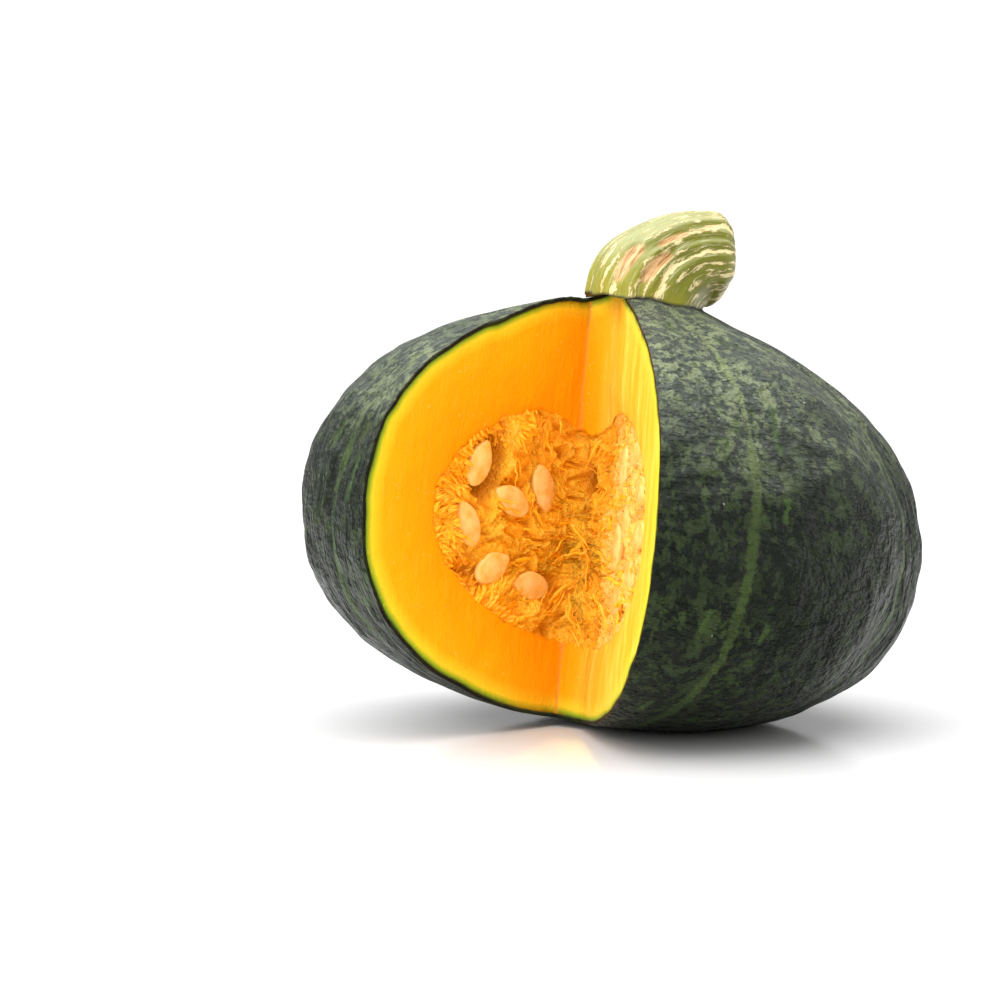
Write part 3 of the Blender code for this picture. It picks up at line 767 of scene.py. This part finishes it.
# ---- strands ----
# Wet threads that stayed on the pulp when the wedge was pulled out, and the comb of short
# torn ends along the cavity's edge; each lies along the surface with its ends a little free.
STRAND_BENDS, STRAND_SIDES = 9, 5
SHORTEST, LONGEST = 0.45, 1.45           # of the length asked for
TANGLE = 0.45                            # how far a strand may turn from the others' way
EDDY_SCALE = 260.0
THREAD_ORANGE, THREAD_AMBER, THREAD_GOLD = (0.95, 0.39, 0.004), (0.98, 0.52, 0.022), (0.98, 0.64, 0.10)
# painted glow: a faint orange emission stands in for light shining through the wet threads
THREAD_GLOW, THREAD_GLOW_STRENGTH = (1.0, 0.38, 0.0, 1.0), 0.11


def strand_recipe():
    tree = bpy.data.node_groups.new("strands", "GeometryNodeTree")
    sockets = {}
    for label, kind in (("Pulp", "Geometry"), ("Where", "String"), ("Per Square Metre", "Float"),
                        ("Length", "Float"), ("Thickness", "Float"), ("Lift", "Float"), ("Wander", "Float"),
                        ("Seed", "Int"), ("Finish", "Material")):
        sockets[label] = tree.interface.new_socket(label, in_out="INPUT", socket_type="NodeSocket" + kind)
    tree.interface.new_socket("Strands", in_out="OUTPUT", socket_type="NodeSocketGeometry")
    make = Recipe(tree)
    start = tree.nodes.new("NodeGroupInput")
    given = {label: Tap(make, start.outputs[label]) for label in sockets}
    share = make.node("GeometryNodeInputNamedAttribute", {"data_type": "FLOAT"}, {"Name": given["Where"]})
    scattered = make.node("GeometryNodeDistributePointsOnFaces", None, {
        "Mesh": given["Pulp"], "Density": share * given["Per Square Metre"], "Seed": given["Seed"]})
    normal = Tap(make, scattered.socket.node.outputs[1])
    way = make.node("GeometryNodeInputNamedAttribute", {"data_type": "FLOAT_VECTOR"},
                    {"Name": "strand_way"})
    jitter = make.node("FunctionNodeRandomValue", {"data_type": "FLOAT_VECTOR"},
                       {0: (-TANGLE,) * 3, 1: (TANGLE,) * 3, "Seed": given["Seed"]})
    along = make.node("FunctionNodeAlignRotationToVector", {"axis": "X"},
                      {"Vector": make.shifted(way, jitter)})
    turn = make.node("FunctionNodeAlignRotationToVector", {"axis": "Z", "pivot_axis": "X"},
                     {"Rotation": along, "Vector": normal})
    size = make.node("FunctionNodeRandomValue", {"data_type": "FLOAT"},
                     {2: SHORTEST, 3: LONGEST, "Seed": 3}, 1)
    line = make.node("GeometryNodeCurvePrimitiveLine", None, {
        "Start": (0, 0, 0), "End": make.pack(given["Length"], 0.0, 0.0)})
    line = make.node("GeometryNodeResampleCurve", None, {"Curve": line, "Count": STRAND_BENDS})
    share_along = make.node("GeometryNodeSplineParameter")
    arch = make.pack(0.0, 0.0, given["Lift"] * share_along * share_along)
    line = make.node("GeometryNodeSetPosition", None, {"Geometry": line, "Offset": arch})
    body_share = 1 - share_along ** 2.5
    ring = make.node("GeometryNodeCurvePrimitiveCircle", None, {"Resolution": STRAND_SIDES, "Radius": 0.5})
    tube = make.node("GeometryNodeCurveToMesh", None, {
        "Curve": line, "Profile Curve": ring, "Scale": given["Thickness"] * (body_share * 0.9 + 0.1),
        "Fill Caps": True})
    placed = make.node("GeometryNodeInstanceOnPoints", None, {
        "Points": scattered, "Instance": tube, "Rotation": turn, "Scale": make.pack(size, size, size)})
    placed = make.node("GeometryNodeRealizeInstances", None, {"Geometry": placed})
    eddies = make.node("ShaderNodeTexNoise", None, {"Scale": EDDY_SCALE, "Detail": 2.0}, 1)
    drift = make.node("ShaderNodeVectorMath", {"operation": "SCALE"},
                      {0: make.shifted(eddies, (-0.5, -0.5, -0.5)), "Scale": given["Wander"]})
    placed = make.node("GeometryNodeSetPosition", None, {"Geometry": placed, "Offset": drift})
    placed = make.node("GeometryNodeSetMaterial", None, {"Geometry": placed, "Material": given["Finish"]})
    finish = tree.nodes.new("NodeGroupOutput")
    tree.links.new(placed.socket, finish.inputs[0])
    return tree, sockets


strand_tree, strand_sockets = strand_recipe()
thread = Finish("wet_thread")
spot = thread.place()
thread_mix = thread.cloud(spot, 0.0060, 2.0)
thread_colour = thread.blend(thread_mix.rise(0.35, 0.65), THREAD_ORANGE, THREAD_AMBER)
thread_colour = thread.blend(thread.cloud(spot, 0.0018, 2.0).rise(0.55, 0.7) * 0.5,
                             thread_colour, THREAD_GOLD)
thread_finish = thread.done(thread_colour, thread_mix * 0.2 + 0.24, thread.cloud(spot, 0.0006, 2.0), 0.0002,
                            specular_ior_level=0.35, emission_color=THREAD_GLOW,
                            emission_strength=THREAD_GLOW_STRENGTH)


def grow_strands(name, **values):
    grower = pulp_piece.modifiers.new(name, "NODES")
    grower.node_group = strand_tree
    for label, value in {**values, "Finish": thread_finish}.items():
        grower[strand_sockets[label.replace("_", " ").title()].identifier] = value
    evaluated = pulp_piece.evaluated_get(bpy.context.evaluated_depsgraph_get())
    mesh = bpy.data.meshes.new_from_object(evaluated)
    pulp_piece.modifiers.remove(grower)
    mesh.name = name
    mesh.polygons.foreach_set("use_smooth", [True] * len(mesh.polygons))
    made = bpy.data.objects.new(name, mesh)
    bpy.context.scene.collection.objects.link(made)
    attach(made, "root")
    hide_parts("pulp")


grow_strands("loose_strands", where="loose", per_square_metre=24000.0, length=0.0085, thickness=0.00100,
             lift=0.0001, wander=0.0040, seed=4)
grow_strands("fine_strands", where="loose", per_square_metre=70000.0, length=0.0052, thickness=0.00045,
             lift=0.0003, wander=0.0030, seed=6)
grow_strands("torn_comb", where="comb", per_square_metre=480000.0, length=0.0024, thickness=0.00130,
             lift=0.0007, wander=0.0016, seed=9)

# ---- seeds ----
# Fifteen flat drop-shaped seeds, cream to peach, with a thin raised margin and a wet film;
# each sits half sunk in the pulp where its own place is.
SEED_AROUND, SEED_ALONG = 40, 20
MARGIN_RISE, MARGIN_AT, MARGIN_WIDTH = 0.00022, 0.90, 0.07
POINT_TAPER, BLUNT_TAPER = 0.34, 0.05
SEED_PEACH, SEED_CREAM = (0.84, 0.45, 0.085), (0.92, 0.63, 0.23)
MARGIN_AMBER, STAIN_ORANGE = (0.95, 0.56, 0.12), (0.98, 0.50, 0.08)

film = Finish("seed_coat")
spot = film.place()
seed_place = film.attribute("seed_place")
_, _, rim_share = film.xyz(seed_place)
coat = film.cloud(spot, 0.0042, 3.0)
seed_colour = film.blend(coat.rise(0.30, 0.70), SEED_PEACH, SEED_CREAM)
seed_colour = film.blend(rim_share.rise(0.80, 0.97) * 0.6, seed_colour, MARGIN_AMBER)
seed_colour = film.blend(film.cloud(spot, 0.0026, 2.0).rise(0.56, 0.72) * 0.6, seed_colour, STAIN_ORANGE)
seed_relief = film.cloud(spot, 0.0012, 3.0) + coat * 0.5
seed_finish = film.done(seed_colour, coat * 0.14 + 0.22, seed_relief, 0.00022, specular_ior_level=0.5)

for name in seed_names:
    cad = np.array([tuple(v.co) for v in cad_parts[name].data.vertices])
    cad = np.unique(np.round(cad, 7), axis=0)
    middle = cad.mean(axis=0)
    _, _, axes = np.linalg.svd(cad - middle, full_matrices=False)
    local = (cad - middle) @ axes.T
    if local[np.argmax(np.abs(local[:, 0])), 0] < 0:
        axes[0] *= -1
        local[:, 0] *= -1
    if np.linalg.det(axes) < 0:
        axes[2] *= -1
    half = 0.5 * (local.max(axis=0) - local.min(axis=0))
    shift = 0.5 * (local.max(axis=0) + local.min(axis=0))
    seed_mesh = bmesh.new()
    place_layer = seed_mesh.verts.layers.float_vector.new("seed_place")
    bmesh.ops.create_uvsphere(seed_mesh, u_segments=SEED_AROUND, v_segments=SEED_ALONG, radius=1.0)
    for vert in seed_mesh.verts:
        x, y, z = vert.co
        flat = math.hypot(x, y)
        taper = 1 - POINT_TAPER * max(0.0, x) ** 2 + BLUNT_TAPER * min(0.0, x)
        margin = math.exp(-((flat - MARGIN_AT) / MARGIN_WIDTH) ** 2) * MARGIN_RISE
        puff = math.copysign(abs(z) ** 0.8, z)
        wave = noise.noise(Vector((x * 2, y * 2, seed_names.index(name)))) * 0.10
        height = half[2] * (puff + wave * (1 - flat)) * 0.92
        height += math.copysign(margin, z) * (abs(z) > 0.02)
        own = np.array((half[0] * x * (1.0 + 0.04 * (x > 0.9)), half[1] * y * taper, height))
        vert[place_layer] = (x, y, flat)
        vert.co = middle + (own + shift) @ axes
    bmesh.ops.recalc_face_normals(seed_mesh, faces=seed_mesh.faces)
    if seed_mesh.calc_volume(signed=True) < 0:      # so flat a shape may come out facing inwards
        bmesh.ops.reverse_faces(seed_mesh, faces=seed_mesh.faces)
    made = shaped("drop_" + name, seed_mesh, seed_finish)
    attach(made, "root")
    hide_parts(name)

# ---- stem ----
# The thick woody stalk, bent over to the right when the fruit lay on the ground: olive green
# with broken cream streaks that follow the bend, and two corky cracks near its foot.
STEM_RADIUS, STEM_END_RADIUS, STEM_BEND = 0.0190, 0.0165, 0.0212
STEM_BEND_ANGLE, STEM_TURN = math.radians(84.0), math.radians(18.0)
STEM_SINK, STEM_DOME = 0.0062, 0.0080
STEM_AROUND, STEM_ALONG, DOME_SHARE = 180, 110, 0.26
CRACKS = (                       # degrees round, middle, half width, half length, depth
    (-141, 0.22, 7, 0.11, 0.0012), (-117, 0.28, 6, 0.13, 0.0011), (-128, 0.46, 4, 0.10, 0.0006))
CRACK_SLANT = 14                 # degrees round for the whole length
ELBOW_SWELL, ELBOW_AT, ELBOW_LENGTH = 0.0030, 0.30, 0.24
FOOT_LIFT = 0.0002
OLIVE_DARK, OLIVE_LIGHT = (0.110, 0.118, 0.004), (0.215, 0.215, 0.010)
# the second is a painted highlight for the stalk's upper side
OLIVE_FOOT, OLIVE_HIGHLIGHT = (0.36, 0.33, 0.02), (0.42, 0.43, 0.19)
CREAM_DARK, CREAM_LIGHT = (0.66, 0.43, 0.18), (0.80, 0.66, 0.33)
HAIR_CREAM, END_CREAM = (0.80, 0.74, 0.48), (0.80, 0.66, 0.48)
# cork of the cracks, and painted shade where the foot meets the skin
CORK_DARK, CORK_LIGHT, FOOT_SHADE_BROWN = (0.36, 0.15, 0.035), (0.82, 0.50, 0.24), (0.035, 0.032, 0.010)


def crack_gap(turned, along, crack, spread_out=1.0):
    """1 in the middle of a crack of the stalk and 0 away from it."""
    azimuth, middle, half_width, half_length, _ = crack
    aside = (turned - azimuth - CRACK_SLANT * (along - middle)) / (half_width * spread_out)
    return math.exp(-(aside ** 2) - ((along - middle) / half_length) ** 4)


def stem_point(around, along):
    """A point of the stalk: along runs from its foot inside the crown, round the bend, to its end."""
    bent = min(along / (1 - DOME_SHARE), 1.0)
    dome = max(0.0, (along - 1 + DOME_SHARE) / DOME_SHARE) * math.pi / 2
    angle = STEM_BEND_ANGLE * bent
    ridges = 0.0007 * math.cos(5 * around) + 0.00030 * math.cos(17 * around + 3 * math.sin(3 * around))
    ridges += 0.0004 * noise.noise(Vector((math.cos(around) * 4, math.sin(around) * 4, along * 1.5)))
    radius = STEM_RADIUS + (STEM_END_RADIUS - STEM_RADIUS) * bent
    outer = 0.5 - 0.5 * math.cos(around)
    radius += ELBOW_SWELL * math.exp(-((bent - ELBOW_AT) / ELBOW_LENGTH) ** 2) * outer ** 2
    radius -= 0.0018 * max(0.0, bent - 0.35) / 0.65 * (1 - outer)
    turned = (math.degrees(around) + 180) % 360 - 180
    for crack in CRACKS:
        azimuth, middle, half_width, half_length, deep = crack
        lip = math.exp(-((abs(turned - azimuth) - half_width * 1.3) / (half_width * 0.5)) ** 2
                       - ((along - middle) / half_length) ** 4)
        gap = crack_gap(turned, along, crack) * deep
        ridges += lip * deep * 0.45 - gap * (1 + 0.8 * noise.noise(Vector((turned * 0.6, along * 24, 1))))
    radius = (radius + ridges) * math.cos(dome) ** 0.75
    onward = Vector((math.sin(angle), 0, math.cos(angle)))
    outward = Vector((math.cos(angle), 0, -math.sin(angle)))
    middle = Vector((STEM_BEND, 0, CROWN_HEIGHT + COLLAR_RISE - STEM_SINK)) - outward * STEM_BEND
    point = middle + outward * radius * math.cos(around) + onward * STEM_DOME * math.sin(dome)
    point.y += radius * math.sin(around)
    return Vector(HEART) + LEAN @ (Matrix.Rotation(STEM_TURN, 3, "Z") @ point)


bark = Finish("olive_stalk")
bark_place = bark.attribute("stalk_place")
round_stalk, along_stalk, scar = bark.xyz(bark_place)
spot = bark.place()
waver = bark.cloud(spot, 0.005, 3.0) - 0.5
run = bark.pack(round_stalk + waver * 0.005, along_stalk * 0.10, 0.0)
bands = bark.cloud(run, 0.0023, 3.0, 0.55)
breaks = bark.cloud(bark.pack(round_stalk * 1.2, along_stalk * 0.45, 3.0), 0.0026, 4.0, 0.70)
hair = bark.cloud(bark.pack(round_stalk, along_stalk * 0.10, 6.0), 0.0007, 3.0)
_, _, up = bark.xyz(bark.node("ShaderNodeNewGeometry", output=1))
to_end = along_stalk.rise(0.018, 0.040)
streak = (bands + (breaks - 0.5) * 0.62 + to_end * 0.05).rise(0.530, 0.610)
olive = bark.blend(bark.cloud(spot, 0.010, 3.0), OLIVE_DARK, OLIVE_LIGHT)
olive = bark.blend(along_stalk.rise(0.014, 0.004) * 0.6, olive, OLIVE_FOOT)
# painted highlight: pale sage where the stalk faces up to the overhead light
olive = bark.blend(up.rise(0.20, 0.90) * 0.50, olive, OLIVE_HIGHLIGHT)
cream = bark.blend(breaks.rise(0.35, 0.60), CREAM_DARK, CREAM_LIGHT)
stalk_colour = bark.blend(streak * 0.92, olive, cream)
stalk_colour = bark.blend(hair.rise(0.56, 0.72) * 0.35, stalk_colour, HAIR_CREAM)
stalk_colour = bark.blend(along_stalk.rise(0.036, 0.046) * 0.55, stalk_colour, END_CREAM)
stalk_colour = bark.blend(scar.rise(0.25, 0.75) * 0.9, stalk_colour,
                          bark.blend(hair.rise(0.4, 0.6), CORK_DARK, CORK_LIGHT))
# painted shade: near-black where the stalk's foot comes within about a millimetre of the skin
foot_gap, _, _ = bark.xyz(bark.attribute("stalk_foot"))
stalk_colour = bark.blend(foot_gap.rise(0.0013, 0.0003) * 0.85, stalk_colour, FOOT_SHADE_BROWN)
stem_finish = bark.done(stalk_colour, breaks * 0.15 + 0.36,
                        hair * 0.5 + streak * 0.45 + bands * 0.3, 0.0006, specular_ior_level=0.40)

stalk = bmesh.new()
stalk_layer = stalk.verts.layers.float_vector.new("stalk_place")
foot_layer = stalk.verts.layers.float_vector.new("stalk_foot")
upright = LEAN @ Vector((0, 0, 1))


def raised_to_skin(point):
    """The same point lifted along the pumpkin's own upright until it lies just above the skin."""
    hit = skin_tree.ray_cast(point - upright * 0.001, upright)[0]
    return point if hit is None else hit + upright * FOOT_LIFT


foot = stalk.verts.new(sum((stem_point(math.radians(a), 0.0) for a in range(0, 360, 30)), Vector()) / 12)
foot.co = raised_to_skin(foot.co)
stalk_rings = []
stalk_length = STEM_BEND * STEM_BEND_ANGLE / (1 - DOME_SHARE)
for row in range(STEM_ALONG):
    along = row / STEM_ALONG
    ring = []
    for side in range(STEM_AROUND):
        around = 2 * math.pi * side / STEM_AROUND
        vert = stalk.verts.new(stem_point(around, along))
        turned = (math.degrees(around) + 180) % 360 - 180
        scar_share = max(crack_gap(turned, along, crack, 1.1) for crack in CRACKS)
        near, normal, _, _ = skin_tree.find_nearest(vert.co)
        above = (vert.co - near).dot(normal)
        if above < FOOT_LIFT:
            vert.co = raised_to_skin(vert.co)
        vert[foot_layer] = (max(above, 0.0), 0, 0)
        vert[stalk_layer] = (turned * math.pi / 180 * STEM_RADIUS, along * stalk_length, scar_share)
        ring.append(vert)
    stalk_rings.append(ring)
tip = stalk.verts.new(stem_point(0.0, 1.0))
tip[stalk_layer] = (0, stalk_length, 0)
tip[foot_layer] = (STEM_RADIUS, 0, 0)
for i in range(STEM_AROUND):
    j = (i + 1) % STEM_AROUND
    stalk.faces.new((foot, stalk_rings[0][j], stalk_rings[0][i]))
    stalk.faces.new((stalk_rings[-1][i], stalk_rings[-1][j], tip))
weave(stalk, stalk_rings)
bmesh.ops.recalc_face_normals(stalk, faces=stalk.faces)
stem = shaped("bent_stalk", stalk, stem_finish)
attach(stem, "root")
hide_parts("stem")
